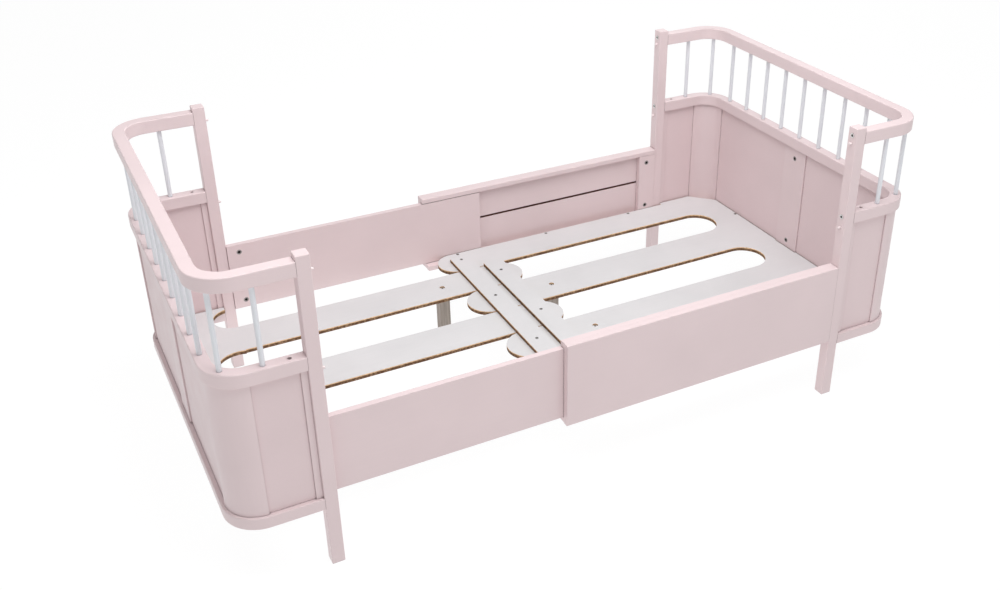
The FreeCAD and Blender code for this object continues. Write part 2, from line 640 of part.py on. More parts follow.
def finger(name, root_x, tip_x, pointing, middle_y, wide):
    """A deck finger with a round tip. pointing is 1 where it points to the head."""
    z_span = ("deck_foot", DECK_TOP)
    round_x = f"({tip_x} - {pointing} * {wide} / 2)"
    x_span = (root_x, round_x) if pointing > 0 else (round_x, root_x)
    y_span = (f"{middle_y} - {wide} / 2", f"{middle_y} + {wide} / 2")
    return [
        box(f"{name}_strip", x_span, y_span, z_span),
        rod(f"{name}_tip", wide, "z", z_span, (round_x, middle_y)),
    ]


def cut_corners(name, end):
    """The end of a deck between the bends, as a slab whose corners are cut off."""
    slab = new("Part::Wedge", name)
    bind(slab, "Xmin", f"-({ARM_EDGE})")
    bind(slab, "Xmax", ARM_EDGE)
    bind(slab, "X2min", f"{CHAMFER} - ({ARM_EDGE})")
    bind(slab, "X2max", f"({ARM_EDGE}) - {CHAMFER}")
    bind(slab, "Ymax", CHAMFER)
    bind(slab, "Zmax", "deck_thick")
    bind(slab, "Z2max", "deck_thick")
    for prop in ("Ymin", "Zmin", "Z2min"):
        setattr(slab, prop, 0)
    slab.Placement.Rotation = FreeCAD.Rotation(FreeCAD.Vector(0, 0, 1), -90 * end)
    bind(slab, "Placement.Base.x", placed(f"({CROSS_EDGE} - {CHAMFER})", end))
    bind(slab, "Placement.Base.z", "deck_foot")
    return slab


def stile_notch(name, end):
    half = "(centre_stile_wide / 2 + deck_gap)"
    return box(name, turned((STILE_EDGE, CROSS_EDGE), end), (f"-{half}", half), ("deck_foot", DECK_TOP))


def head_deck(holes):
    z_span = ("deck_foot", DECK_TOP)
    root = f"({SLOT_END} - slot_wide / 2)"
    flank = f"({CROSS_EDGE} - {CHAMFER})"
    across = (f"-({DECK_EDGE})", DECK_EDGE)
    shoulder = f"({POST_OUT} + deck_gap)"
    solids = [
        box("head_palm", (root, flank), across, z_span),
        cut_corners("head_cut_corners", 1),
    ]
    for side_name, side in SIDES:
        middle = placed("(finger_pitch / 2)", side)
        edge_middle = placed(EDGE_MIDDLE, side)
        edge_tip = f"({HEAD_TIP} + edge_tip_inset)"
        shoulder_y = turned((EDGE_FINGER_IN, ARM_EDGE), side)
        solids.append(box(f"head_shoulder_{side_name}", (shoulder, flank), shoulder_y, z_span))
        solids += finger(f"head_finger_{side_name}", root, HEAD_TIP, -1, middle, HEAD_FINGER)
        solids += finger(f"head_edge_finger_{side_name}", root, edge_tip, -1, edge_middle, EDGE_FINGER)
    tools = [stile_notch("head_notch", 1)]
    for number in (-1, 0, 1):
        middle = f"{number} * finger_pitch"
        tools.append(rod(f"head_slot_{number + 1}", "slot_wide", "z", z_span, (root, middle)))
    piece("head_deck", cut("head_deck_cut", fuse("head_deck_whole", solids), tools + holes))


def foot_deck(holes):
    z_span = ("deck_foot", DECK_TOP)
    root = f"({FOOT_SLOT} / 2 - {SLOT_END})"
    flank = f"({CROSS_EDGE} - {CHAMFER})"
    tab_in = f"({ARM_EDGE} - tab_wide)"
    finger_out = "(finger_pitch + foot_finger_wide / 2)"
    side_slot = f"({tab_in} - {finger_out})"
    side_root = f"({side_slot} / 2 - {POST_OUT} - side_slot_past_post)"
    tab_end = f"-({POST_OUT} + deck_gap)"
    solids = [
        box("foot_palm", (f"-{flank}", root), (f"-{finger_out}", finger_out), z_span),
        box("foot_shoulders", (f"-{flank}", tab_end), (f"-({ARM_EDGE})", ARM_EDGE), z_span),
        cut_corners("foot_cut_corners", -1),
    ]
    for number in (-1, 0, 1):
        middle = f"{number} * finger_pitch"
        solids += finger(f"foot_finger_{number + 1}", root, FOOT_TIP, 1, middle, "foot_finger_wide")
    tools = [stile_notch("foot_notch", -1)]
    for side_name, side in SIDES:
        slot_y = placed("(finger_pitch / 2)", side)
        tools.append(rod(f"foot_slot_{side_name}", FOOT_SLOT, "z", z_span, (root, slot_y)))
        side_y = placed(f"(({tab_in} + {finger_out}) / 2)", side)
        tools.append(rod(f"foot_side_slot_{side_name}", side_slot, "z", z_span, (side_root, side_y)))
        gap_x = (side_root, f"{side_root} + {side_slot}")
        gap_y = turned((finger_out, tab_in), side)
        tools.append(box(f"foot_side_gap_{side_name}", gap_x, gap_y, z_span))
    piece("foot_deck", cut("foot_deck_cut", fuse("foot_deck_whole", solids), tools + holes))


def batten(label, low_x, long, relief_places, relief_wide, holes):
    """A cross batten, screwed to its own comb and relieved over the fingers of the other."""
    x_span = (low_x, f"{low_x} + batten_wide")
    bar_z = (DECK_TOP, f"{DECK_TOP} + batten_thick")
    bar = box(f"{label}_bar", x_span, (f"-{long} / 2", f"{long} / 2"), bar_z)
    reliefs = []
    for number, place in enumerate(relief_places):
        y_span = (f"{place} - {relief_wide} / 2", f"{place} + {relief_wide} / 2")
        z_span = (DECK_TOP, f"{DECK_TOP} + batten_relief")
        reliefs.append(box(f"{label}_relief_{number}", x_span, y_span, z_span))
    piece(label, cut(f"{label}_cut", bar, reliefs + holes))


def base():
    """Decks, battens, centre legs and their fasteners. Returns the holes in lips and bottom rails."""
    lip_holes = {"left": [], "right": []}
    rail_holes = {"head": [], "foot": []}
    screws = {"head": [], "foot": []}
    deck_holes = {"head": [], "foot": []}
    batten_holes = {"head": [], "foot": []}
    lip_reach = f"({POST_IN} - {BOARD_END})"
    edge_y = f"({DECK_EDGE} - screw_margin)"
    for side_name, side in SIDES:
        for number, share in enumerate(("0.125", "0.5", "0.875")):
            x = f"({BOARD_END} + {lip_reach} * {share})"
            made, holes = screw(f"edge_{side_name}_{number}", x, placed(edge_y, side), DECK_TOP)
            screws["head"].append(made)
            deck_holes["head"] += holes
            lip_holes[side_name] += holes
    for end_name, end in ENDS:
        for side_name, side in SIDES:
            x = placed(f"({CROSS_EDGE} - cross_screw_margin)", end)
            name = f"cross_{end_name}_{side_name}"
            made, holes = screw(name, x, placed("finger_pitch", side), DECK_TOP)
            screws[end_name].append(made)
            deck_holes[end_name] += holes
            rail_holes[end_name] += holes
    batten_top = f"({DECK_TOP} + batten_thick)"
    edge_place = f"({EDGE_MIDDLE} - screw_margin)"
    head_places = ("(finger_pitch / 2)", edge_place, "-(finger_pitch / 2)", f"-{edge_place}")
    rows = (
        ("head", HEAD_BATTEN_X, head_places),
        ("foot", FOOT_BATTEN_X, ("0", "finger_pitch", "-finger_pitch")),
    )
    for end_name, low_x, places in rows:
        for number, y in enumerate(places):
            x = f"({low_x} + batten_wide / 2)"
            made, holes = screw(f"{end_name}_batten_{number}", x, y, batten_top)
            screws[end_name].append(made)
            deck_holes[end_name] += holes
            batten_holes[end_name] += holes

    legs = (
        ("head", SIDES, f"({HEAD_TIP} + head_leg_inset)", "(finger_pitch / 2)"),
        ("foot", SIDES[:1], f"({FOOT_TIP} - foot_leg_inset)", "finger_pitch"),
    )
    for end_name, sides, x, y in legs:
        bolts = []
        for side_name, side in sides:
            made, holes = leg_with_bolt(f"{end_name}_centre_leg_{side_name}", x, placed(y, side))
            bolts.append(made)
            deck_holes[end_name] += holes
        piece(f"{end_name}_leg_bolts", group(f"{end_name}_leg_bolt_group", bolts))
        piece(f"{end_name}_deck_screws", group(f"{end_name}_screw_group", screws[end_name]))

    head_deck(deck_holes["head"])
    foot_deck(deck_holes["foot"])
    foot_fingers = ("0", "finger_pitch", "-finger_pitch")
    head_fingers = ("(finger_pitch / 2)", "-(finger_pitch / 2)")
    over_foot = "(foot_finger_wide + 4)"
    over_head = f"({FOOT_SLOT} - 2)"
    batten("head_batten", HEAD_BATTEN_X, HEAD_BATTEN_LONG, foot_fingers, over_foot, batten_holes["head"])
    batten("foot_batten", FOOT_BATTEN_X, FOOT_BATTEN_LONG, head_fingers, over_head, batten_holes["foot"])
    return lip_holes, rail_holes


def build():
    lip_holes, rail_holes = base()
    holes = {}
    cams = {}
    for end_name, end in ENDS:
        holes[end_name], cams[end_name] = end_section(end_name, end, rail_holes[end_name])
    guide_pins = []
    for side_name, side in SIDES:
        locks, post_side_holes = outer_rail(side_name, side, lip_holes[side_name])
        cams["head"] += locks
        holes["head"][side_name] += post_side_holes
        locks, post_side_holes, pin = inner_rail(side_name, side)
        cams["foot"] += locks
        holes["foot"][side_name] += post_side_holes
        guide_pins.append(pin)
    piece("rail_guide_pins", group("guide_pin_group", guide_pins))
    for end_name, end in ENDS:
        posts(end_name, end, holes[end_name])
        piece(f"{end_name}_cam_locks", group(f"{end_name}_cam_group", cams[end_name]))


def check():
    for thing in doc.Objects:
        if "Invalid" in thing.State or "Error" in thing.State:
            raise RuntimeError(f"{thing.Name} failed: {thing.State}")
    for made in pieces:
        if made.Shape.isNull() or not made.Shape.isValid() or not made.Shape.Solids:
            raise RuntimeError(f"{made.Label} is not a valid solid")


build()
doc.recompute()
check()
os.makedirs("parts", exist_ok=True)
for made in pieces:
    made.Shape.exportStep(f"parts/{made.Label}.step")
    print(made.Label, len(made.Shape.Solids), round(made.Shape.Volume / 1000))
print(len(pieces), "pieces")
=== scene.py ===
"""Finishes, floor, light and camera for an extending child's bed, built on the frame's pieces."""

import bpy
from bpy.props import FloatProperty, FloatVectorProperty, PointerProperty
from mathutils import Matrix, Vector


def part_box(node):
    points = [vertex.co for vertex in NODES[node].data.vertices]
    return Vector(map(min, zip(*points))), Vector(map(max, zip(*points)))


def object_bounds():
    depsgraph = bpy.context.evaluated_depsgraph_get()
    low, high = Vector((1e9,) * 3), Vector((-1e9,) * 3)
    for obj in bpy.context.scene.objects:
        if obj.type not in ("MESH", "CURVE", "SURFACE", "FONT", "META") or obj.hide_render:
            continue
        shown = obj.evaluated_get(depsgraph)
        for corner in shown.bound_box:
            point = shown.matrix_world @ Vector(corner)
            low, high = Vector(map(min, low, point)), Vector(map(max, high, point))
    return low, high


bl_info = {
    "name": "Extending Bed Finishes",
    "version": (1, 0, 0),
    "blender": (4, 5, 0),
    "location": "3D View > Sidebar > Bed",
    "description": "Paints and lights a small extending bed with bent ends and comb decks",
    "category": "Object",
}

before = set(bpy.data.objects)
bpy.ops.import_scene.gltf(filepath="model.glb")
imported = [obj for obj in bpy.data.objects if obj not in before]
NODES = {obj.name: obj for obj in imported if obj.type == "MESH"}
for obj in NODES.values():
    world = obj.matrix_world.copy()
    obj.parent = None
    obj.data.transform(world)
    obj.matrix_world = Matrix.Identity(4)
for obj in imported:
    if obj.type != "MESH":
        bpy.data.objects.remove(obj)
CAD_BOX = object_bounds()
MILLIMETRE = 0.001
GROOVE_MIDDLE = 312 * MILLIMETRE
GROOVE_HALF = 4.5 * MILLIMETRE
GROOVE_DEEP = 8 * MILLIMETRE
UPRIGHT_GRAIN = (1.0, 1.0, 30.0)
LENGTHWISE_GRAIN = (30.0, 1.0, 1.0)
WHITE = (1.0, 1.0, 1.0, 1.0)
# Near-black colour painted into sockets as shade
PAINTED_SOCKET_SHADE = (0.022, 0.018, 0.016)
SENSOR_WIDTH = 36.0


def hue(name, description, default):
    return FloatVectorProperty(
        name=name, description=description, subtype="COLOR", size=3, min=0, max=1, default=default)


class PaintSettings(bpy.types.PropertyGroup):
    """Colours and surface of the painted, coated and bare wood."""

    frame_pink: hue("Frame", "Paint on posts, rails, stiles and boards", (0.790, 0.652, 0.663))
    panel_pink: hue("Panels", "Paint on the flat panels", (0.785, 0.640, 0.652))
    spindle_white: hue("Spindles", "Paint on the spindles", (0.79, 0.81, 0.85))
    deck_white: hue("Decks", "Coating on the faces of decks and battens", (0.700, 0.694, 0.702))
    core_brown: hue("Core", "Raw core at the edges of decks and battens", (0.120, 0.056, 0.026))
    rim_tan: hue("Rim", "Sanded rim of a raw edge", (0.84, 0.58, 0.34))
    groove_brown: hue("Groove", "Raw board in the groove of an outer rail", (0.150, 0.060, 0.045))
    leg_brown: hue("Centre legs", "Bare wood of the centre legs", (0.36, 0.31, 0.27))
    peg_tan: hue("Dowels", "Bare beech of the dowels", (0.62, 0.42, 0.24))
    peel_size: FloatProperty(
        name="Peel size", description="Size of the ripples in the paint", subtype="DISTANCE",
        unit="LENGTH", default=1.6 * MILLIMETRE, min=0.0001, max=0.02)
    edge_round: FloatProperty(
        name="Edge softness", description="Width over which paint softens a sharp edge",
        subtype="DISTANCE", unit="LENGTH", default=1.2 * MILLIMETRE, min=0.0, max=0.01)


class MetalSettings(bpy.types.PropertyGroup):
    """Colours of screws, bolts and cam locks."""

    nickel: hue("Nickel", "Plating on bolts and guide pins", (0.88, 0.87, 0.86))
    screw_grey: hue("Screws", "Dull plating on the deck and batten screws", (0.24, 0.23, 0.22))
    zinc: hue("Zinc", "Cast cam locks", (0.36, 0.34, 0.33))
    stud_pink: hue("Studs", "Moulded pale studs on the posts", (0.86, 0.75, 0.755))


class StageSettings(bpy.types.PropertyGroup):
    """Floor, lights and camera."""

    floor_size: FloatProperty(
        name="Floor", description="Side of the square floor", subtype="DISTANCE", unit="LENGTH",
        default=40.0, min=5.0, max=200.0)
    floor_tone: hue("Floor tone", "Colour of the floor", (0.10, 0.10, 0.10))
    floor_glow: FloatProperty(
        name="Floor glow", description="Light given off by the lit floor",
        default=0.93, min=0.0, max=2.0)
    sky_strength: FloatProperty(
        name="Surround", description="Brightness of the white surround",
        default=0.38, min=0.0, max=5.0)
    key_power: FloatProperty(
        name="Key light", description="Power of the soft light over the foot end", subtype="POWER",
        unit="POWER", default=46.0, min=0.0, max=5000.0)
    fill_power: FloatProperty(
        name="Fill light", description="Power of the soft light over the head end", subtype="POWER",
        unit="POWER", default=36.0, min=0.0, max=5000.0)
    back_power: FloatProperty(
        name="Back light", description="Power of the light behind the head, that whitens top faces",
        subtype="POWER", unit="POWER", default=34.0, min=0.0, max=5000.0)
    camera_place: FloatVectorProperty(
        name="Camera place", description="Where the camera stands",
        subtype="XYZ", unit="LENGTH", size=3, default=(-1.2436, -2.5393, 1.9337))
    camera_turn: FloatVectorProperty(
        name="Camera turn", description="The camera's rotation",
        subtype="EULER", unit="ROTATION", size=3, default=(1.0708, -0.0052, -0.4960))
    camera_lens: FloatProperty(
        name="Lens", description="Focal length", subtype="DISTANCE_CAMERA", unit="CAMERA",
        default=40.77, min=5.0, max=300.0)
    camera_shift: FloatVectorProperty(
        name="Shift", description="Sideways and upward shift of the lens",
        size=2, default=(-0.0670, -0.0316))


class Finish:
    """A node material under construction, with short ways to add and link its nodes."""

    def __init__(self, name):
        self.material = bpy.data.materials.new(name)
        self.material.use_nodes = True
        self.tree = self.material.node_tree
        self.shader = self.tree.nodes["Principled BSDF"]
        self.place = self.add("ShaderNodeTexCoord").outputs["Object"]

    def add(self, kind, **settings):
        node = self.tree.nodes.new(kind)
        for name, value in settings.items():
            setattr(node, name, value)
        return node

    def link(self, source, socket):
        self.tree.links.new(source, socket)

    def noise(self, size, detail=2.0, stretch=(1.0, 1.0, 1.0), roughness=0.5, place=None):
        """Noise whose features are about size metres across, times stretch along each axis."""
        spread = self.add("ShaderNodeMapping")
        spread.inputs["Scale"].default_value = [1.0 / (size * s) for s in stretch]
        self.link(place or self.place, spread.inputs["Vector"])
        node = self.add("ShaderNodeTexNoise")
        node.inputs["Scale"].default_value = 1.0
        node.inputs["Detail"].default_value = detail
        node.inputs["Roughness"].default_value = roughness
        self.link(spread.outputs["Vector"], node.inputs["Vector"])
        return node.outputs["Fac"]

    def ramp(self, fac, low, high, low_at=0.0, high_at=1.0):
        """Two colours or greys, fading over the part of fac from low_at to high_at."""
        node = self.add("ShaderNodeValToRGB")
        first, last = node.color_ramp.elements
        first.position = low_at
        last.position = high_at
        for element, tone in ((first, low), (last, high)):
            element.color = (*tone, 1) if hasattr(tone, "__len__") else (tone, tone, tone, 1)
        self.link(fac, node.inputs["Fac"])
        return node.outputs["Color"]

    def mix(self, fac, first, second):
        node = self.add("ShaderNodeMix", data_type="RGBA")
        self.put(fac, node.inputs[0])
        self.put(first, node.inputs[6])
        self.put(second, node.inputs[7])
        return node.outputs[2]

    def put(self, value, socket):
        """Link an output to a socket, or set a plain value on it."""
        if isinstance(value, bpy.types.NodeSocket):
            self.link(value, socket)
        elif hasattr(value, "__len__"):
            socket.default_value = (*value, 1)
        elif socket.type == "RGBA":
            socket.default_value = (value, value, value, 1)
        else:
            socket.default_value = value

    def math(self, operation, first, second=0.0):
        node = self.add("ShaderNodeMath", operation=operation)
        self.put(first, node.inputs[0])
        self.put(second, node.inputs[1])
        return node.outputs["Value"]

    def within(self, value, middle, reach):
        """1 where value is no further than reach from middle, else 0."""
        node = self.add("ShaderNodeMath", operation="COMPARE")
        self.put(value, node.inputs[0])
        node.inputs[1].default_value = middle
        node.inputs[2].default_value = reach
        return node.outputs["Value"]

    def recess(self, reach, deepest=0.30, shallowest=0.75):
        """A mask that is 1 in corners, joints and sockets narrower than reach, used to paint shade
        into them.
        """
        node = self.add("ShaderNodeAmbientOcclusion", samples=4)
        node.inputs["Distance"].default_value = reach
        return self.ramp(node.outputs["AO"], 1.0, 0.0, deepest, shallowest)

    def off_faces(self, faces):
        """A mask that is 0 on flat faces, each (axis, distance from the middle), and 1 off them."""
        on_face = 0.0
        for letter, distance in faces:
            away = self.math("ABSOLUTE", self.axis(self.place, letter))
            on_face = self.math("MAXIMUM", on_face, self.within(away, distance, 0.3 * MILLIMETRE))
        return self.math("SUBTRACT", 1.0, on_face)

    def axis(self, vector, letter):
        node = self.add("ShaderNodeSeparateXYZ")
        self.link(vector, node.inputs["Vector"])
        return node.outputs[letter]

    def bump(self, height, strength, distance, under=None):
        node = self.add("ShaderNodeBump")
        node.inputs["Strength"].default_value = strength
        node.inputs["Distance"].default_value = distance
        self.link(height, node.inputs["Height"])
        if under is not None:
            self.link(under, node.inputs["Normal"])
        self.link(node.outputs["Normal"], self.shader.inputs["Normal"])
        return node.outputs["Normal"]

    def soft_edge(self, radius):
        """Normals that round sharp edges, and a mask that is 1 on those edges."""
        bevel = self.add("ShaderNodeBevel", samples=4)
        bevel.inputs["Radius"].default_value = radius
        geometry = self.add("ShaderNodeNewGeometry")
        dot = self.add("ShaderNodeVectorMath", operation="DOT_PRODUCT")
        self.link(bevel.outputs["Normal"], dot.inputs[0])
        self.link(geometry.outputs["Normal"], dot.inputs[1])
        return bevel.outputs["Normal"], self.ramp(dot.outputs["Value"], 1.0, 0.0, 0.80, 0.995)

    def colour(self, output):
        self.link(output, self.shader.inputs["Base Color"])


def shade(tone, factor):
    return [min(1.0, channel * factor) for channel in tone]


def painted(name, tone, settings, grain=(1.0, 1.0, 1.0), roughness=(0.36, 0.50), groove=False):
    """Satin paint on fine wood: faint clouds, orange peel, grain showing through, a painted
    highlight on the edges and painted shade in crevices.

    With groove, the inside of an outer board's groove is raw board."""
    made = Finish(name)
    cloud = made.noise(0.22, 3.0)
    base = made.ramp(cloud, shade(tone, 0.975), shade(tone, 1.025), 0.3, 0.7)
    streaks = made.noise(0.0035, 4.0, grain, 0.6)
    base = made.mix(0.10, base, made.ramp(streaks, shade(tone, 0.93), shade(tone, 1.05), 0.3, 0.7))
    round_normal, edges = made.soft_edge(settings.edge_round)
    # Painted highlight: the sharp edges fade towards a brighter copy of the paint, standing in for
    # the light they catch.
    base = made.mix(made.math("MULTIPLY", edges, 0.35), base, shade(tone, 1.12))
    # Painted shade: ambient occlusion darkens the paint in corners, joints and where panels meet
    # the deck, standing in for the shade that falls there.
    painted_crevice_shade = made.math("MULTIPLY", made.recess(0.006, 0.40, 0.72), 0.8)
    base = made.mix(painted_crevice_shade, base, shade(tone, 0.36))
    if groove:
        low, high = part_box("outer_board_left")
        depth = made.within(
            made.math("ABSOLUTE", made.axis(made.place, "Y")),
            low.y + GROOVE_DEEP / 2 + 0.5 * MILLIMETRE, GROOVE_DEEP / 2 + 0.3 * MILLIMETRE)
        band = made.within(made.axis(made.place, "Z"), GROOVE_MIDDLE, GROOVE_HALF)
        raw = made.noise(0.0018, 4.0, (8.0, 1.0, 1.0), 0.7)
        brown = settings.groove_brown
        inside = made.ramp(raw, shade(brown, 0.6), shade(brown, 1.6), 0.3, 0.7)
        past_end = made.math("GREATER_THAN", made.axis(made.place, "X"), low.x + 2 * GROOVE_DEEP)
        bare = made.math("MULTIPLY", made.math("MULTIPLY", depth, band), past_end)
        base = made.mix(bare, base, inside)
    made.colour(base)
    smudge = made.noise(0.05, 4.0)
    low, high = roughness
    made.link(made.ramp(smudge, low, high, 0.3, 0.7), made.shader.inputs["Roughness"])
    made.shader.inputs["Specular IOR Level"].default_value = 0.32
    made.shader.inputs["Coat Weight"].default_value = 0.03
    made.shader.inputs["Coat Roughness"].default_value = 0.25
    first = made.bump(streaks, 0.10, 0.00012, round_normal)
    made.bump(made.noise(settings.peel_size, 1.0), 0.12, 0.00010, first)
    return made.material


def coated_board(name, settings, low, high):
    """White coated board whose cut edges, between the heights low and high, show the raw core."""
    made = Finish(name)
    white = settings.deck_white
    cloud = made.noise(0.18, 3.0)
    face = made.ramp(cloud, shade(white, 0.965), shade(white, 1.03), 0.3, 0.7)
    flow = made.noise(0.0040, 3.0, (26.0, 1.0, 1.0), 0.6)
    face = made.mix(0.14, face, made.ramp(flow, shade(white, 0.90), shade(white, 1.05), 0.35, 0.68))
    fibres = made.noise(0.0016, 4.0, (3.0, 3.0, 0.6), 0.7)
    brown, tan = settings.core_brown, settings.rim_tan
    core = made.ramp(fibres, shade(brown, 0.55), shade(brown, 1.9), 0.3, 0.72)
    chips = made.noise(0.006, 2.0)
    core = made.mix(0.35, core, made.ramp(chips, shade(brown, 0.7), tan, 0.45, 0.75))
    height = made.axis(made.place, "Z")
    from_top = made.math("DIVIDE", made.math("SUBTRACT", high, height), high - low)
    rim_tone = made.ramp(chips, shade(tan, 0.8), shade(tan, 1.15), 0.35, 0.65)
    rim = made.ramp(from_top, 1.0, 0.0, 0.17, 0.33)
    edge = made.mix(rim, core, rim_tone)
    normal = made.add("ShaderNodeNewGeometry").outputs["Normal"]
    upright = made.math("ABSOLUTE", made.axis(normal, "Z"))
    sunk = made.within(from_top, 0.5, 0.42)
    cut = made.math("MAXIMUM", made.ramp(upright, 1.0, 0.0, 0.35, 0.65), sunk)
    made.colour(made.mix(cut, face, edge))
    scuff = made.noise(0.04, 4.0)
    rough = made.ramp(scuff, 0.42, 0.56, 0.3, 0.7)
    made.link(made.mix(cut, rough, 0.85), made.shader.inputs["Roughness"])
    made.shader.inputs["Specular IOR Level"].default_value = 0.35
    deep = made.bump(made.mix(cut, made.ramp(flow, 0.45, 0.55), fibres), 0.22, 0.0003)
    made.bump(made.noise(0.0011, 1.0), 0.07, 0.00008, deep)
    return made.material


def bare_wood(name, tone, grain):
    """Unpainted wood with grain lines and pores along the long way."""
    made = Finish(name)
    lines = made.noise(0.0042, 5.0, grain, 0.62)
    base = made.ramp(lines, shade(tone, 0.66), shade(tone, 1.22), 0.28, 0.72)
    pores = made.noise(0.0012, 2.0, [max(1.0, g * 0.7) for g in grain], 0.6)
    base = made.mix(made.ramp(pores, 0.5, 0.0, 0.30, 0.42), base, shade(tone, 0.5))
    made.colour(base)
    made.link(made.ramp(lines, 0.74, 0.55), made.shader.inputs["Roughness"])
    first = made.bump(lines, 0.25, 0.0004)
    made.bump(pores, 0.2, 0.0002, first)
    return made.material


def plated(name, tone, roughness, scratch, metallic=1.0, faces=()):
    """Plated or cast metal with fine scratches, tarnish and pitting. Off the given faces, as in the
    sockets, deep shade is painted in; with no faces, shade is painted into small recesses."""
    made = Finish(name)
    tarnish = made.noise(0.006, 4.0)
    surface = made.ramp(tarnish, shade(tone, 0.84), shade(tone, 1.12), 0.3, 0.7)
    # Painted shade: sockets and recesses take a near-black, non-metallic colour, standing in for
    # the shade inside them.
    painted_socket_shade = made.off_faces(faces) if faces else made.recess(0.004)
    made.colour(made.mix(painted_socket_shade, surface, PAINTED_SOCKET_SHADE))
    made.link(made.mix(painted_socket_shade, metallic, 0.0), made.shader.inputs["Metallic"])
    lines = made.noise(0.0006, 3.0, (1.0, 8.0, 1.0), 0.7)
    low, high = roughness
    made.link(made.ramp(lines, low, high, 0.3, 0.7), made.shader.inputs["Roughness"])
    made.bump(made.mix(0.5, made.noise(0.0008, 3.0), lines), scratch, 0.0001)
    return made.material


def moulded(name, tone):
    """Matt moulded plastic: a fine spark-eroded texture, with faint scuffs and greying."""
    made = Finish(name)
    grey = made.noise(0.004, 3.0)
    made.colour(made.ramp(grey, shade(tone, 0.94), shade(tone, 1.03), 0.3, 0.7))
    scuffs = made.noise(0.0012, 3.0, (5.0, 1.0, 1.0), 0.65)
    made.link(made.ramp(scuffs, 0.40, 0.60, 0.3, 0.7), made.shader.inputs["Roughness"])
    made.bump(made.noise(0.0005, 2.0), 0.2, 0.00006)
    return made.material


def dress(material, *names):
    """Give CAD nodes their material."""
    for name in names:
        slots = NODES[name].data.materials
        slots.clear()
        slots.append(material)


def pick(*endings):
    """Nodes whose names end in one of these, or hold it before _left or _right."""
    sides = ("_left", "_right")
    return [name for name in sorted(NODES)
            if any(name.endswith((end, *(end + side for side in sides))) for end in endings)]


class BED_OT_posts(bpy.types.Operator):
    """Paint the four posts, with the grain upright"""

    bl_idname = "bed.posts"
    bl_label = "Posts"

    def execute(self, context):
        settings = context.scene.bed_paint
        material = painted("post_paint", settings.frame_pink, settings, UPRIGHT_GRAIN)
        dress(material, *pick("_post"))
        return {"FINISHED"}


class BED_OT_bent_rails(bpy.types.Operator):
    """Paint the top, middle and bottom rails of both ends"""

    bl_idname = "bed.bent_rails"
    bl_label = "Bent rails"

    def execute(self, context):
        settings = context.scene.bed_paint
        material = painted("bent_rail_paint", settings.frame_pink, settings, (9.0, 9.0, 1.0))
        dress(material, *pick("_top_rail", "_middle_rail", "_bottom_rail"))
        return {"FINISHED"}


class BED_OT_stiles(bpy.types.Operator):
    """Paint the stiles between the middle and bottom rails"""

    bl_idname = "bed.stiles"
    bl_label = "Stiles"

    def execute(self, context):
        settings = context.scene.bed_paint
        material = painted("stile_paint", settings.frame_pink, settings, UPRIGHT_GRAIN)
        dress(material, *pick("_corner_stile", "_centre_stile", "_arm_stile"))
        return {"FINISHED"}


class BED_OT_panels(bpy.types.Operator):
    """Paint the flat panels between the stiles"""

    bl_idname = "bed.panels"
    bl_label = "Panels"

    def execute(self, context):
        settings = context.scene.bed_paint
        material = painted(
            "panel_paint", settings.panel_pink, settings, (2.0, 2.0, 2.0), (0.40, 0.54))
        dress(material, *pick("_cross_panel", "_arm_panel"))
        return {"FINISHED"}


class BED_OT_side_rails(bpy.types.Operator):
    """Paint the sliding side rails, their caps, lips and stop blocks"""

    bl_idname = "bed.side_rails"
    bl_label = "Side rails"

    def execute(self, context):
        settings = context.scene.bed_paint
        tone = settings.frame_pink
        dress(painted("side_rail_paint", tone, settings, LENGTHWISE_GRAIN),
              *pick("rail_cap", "rail_lip", "inner_rail"))
        dress(painted("outer_board_paint", tone, settings, LENGTHWISE_GRAIN, groove=True),
              *pick("outer_board"))
        dress(painted("stop_block_paint", tone, settings, UPRIGHT_GRAIN), *pick("rail_end_stile"))
        return {"FINISHED"}


class BED_OT_spindles(bpy.types.Operator):
    """Paint the spindles"""

    bl_idname = "bed.spindles"
    bl_label = "Spindles"

    def execute(self, context):
        settings = context.scene.bed_paint
        material = painted(
            "spindle_paint", settings.spindle_white, settings, (1.0, 1.0, 40.0), (0.28, 0.42))
        dress(material, *pick("_spindles"))
        return {"FINISHED"}


class BED_OT_decks(bpy.types.Operator):
    """Coat the two comb decks and their battens"""

    bl_idname = "bed.decks"
    bl_label = "Decks and battens"

    def execute(self, context):
        settings = context.scene.bed_paint
        for name in pick("_deck", "_batten"):
            low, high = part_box(name)
            dress(coated_board(f"{name}_board", settings, low.z, high.z), name)
        return {"FINISHED"}


class BED_OT_bare_wood(bpy.types.Operator):
    """Give centre legs and dowels their bare wood"""

    bl_idname = "bed.bare_wood"
    bl_label = "Centre legs and dowels"

    def execute(self, context):
        settings = context.scene.bed_paint
        dress(bare_wood("leg_wood", settings.leg_brown, UPRIGHT_GRAIN), *pick("_centre_leg"))
        dress(bare_wood("dowel_beech", settings.peg_tan, (20.0, 1.0, 1.0)), *pick("_dowels"))
        return {"FINISHED"}


